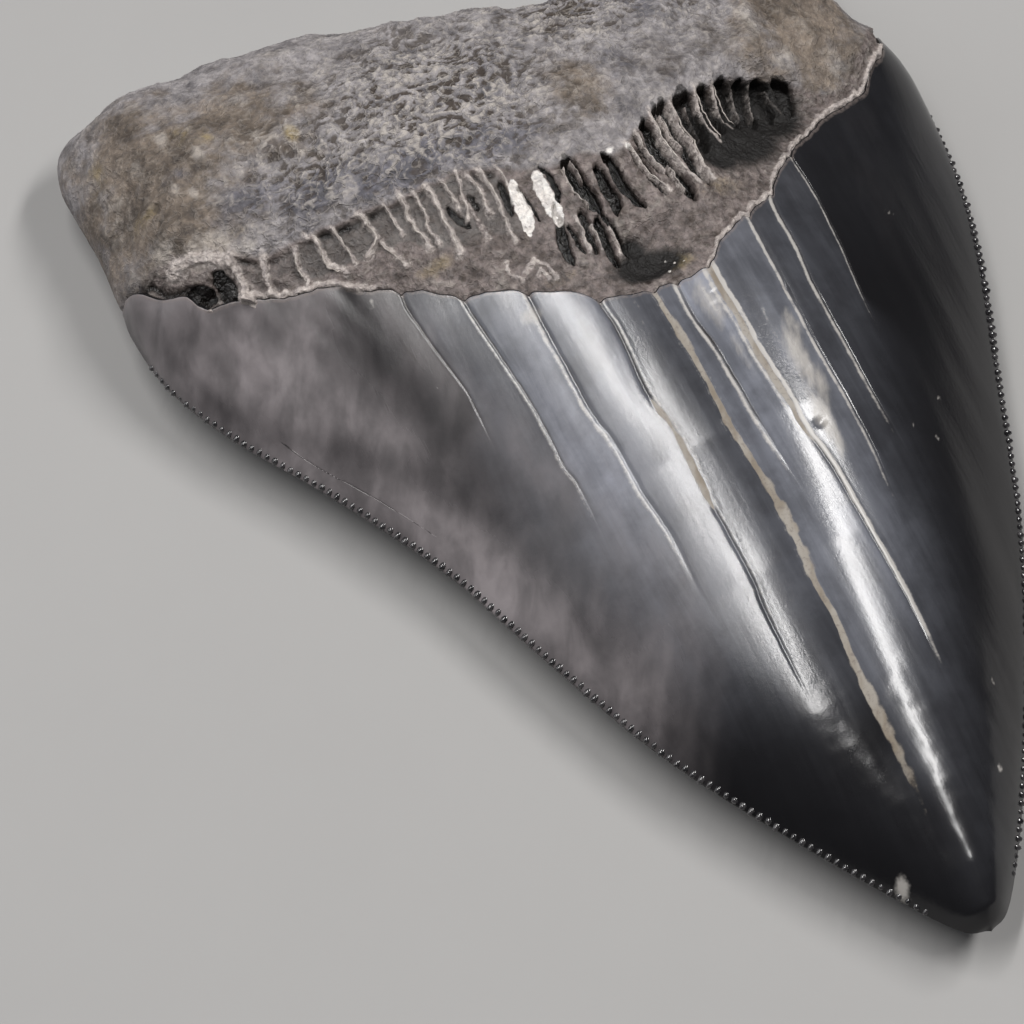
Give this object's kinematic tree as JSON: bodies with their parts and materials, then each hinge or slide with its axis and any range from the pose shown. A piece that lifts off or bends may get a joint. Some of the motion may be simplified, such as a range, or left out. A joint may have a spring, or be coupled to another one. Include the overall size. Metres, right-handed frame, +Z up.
{
  "type": "fossil shark tooth",
  "caption": "Large triangular fossil shark tooth with a dark glossy crown, fine serrated edges, a ribbed band at the crown's base and a rough pale root, lying on its flatter face.",
  "frame": {"origin": "middle of the tooth's box on the surface that it lies on", "axes": "+X across the shoulders of the crown, -Y towards the tip, +Y towards the root, +Z up out of the bulging inner face"},
  "size_m": [0.0842, 0.1134, 0.0232],
  "materials": {
    "enamel": "polished natural enamel, dark blue-grey to black, with fine pale cracks",
    "root": "rough, mottled grey, tan and brown"
  },
  "bodies": {
    "root": {"tooth": "enamel"}
  },
  "joints": []
}
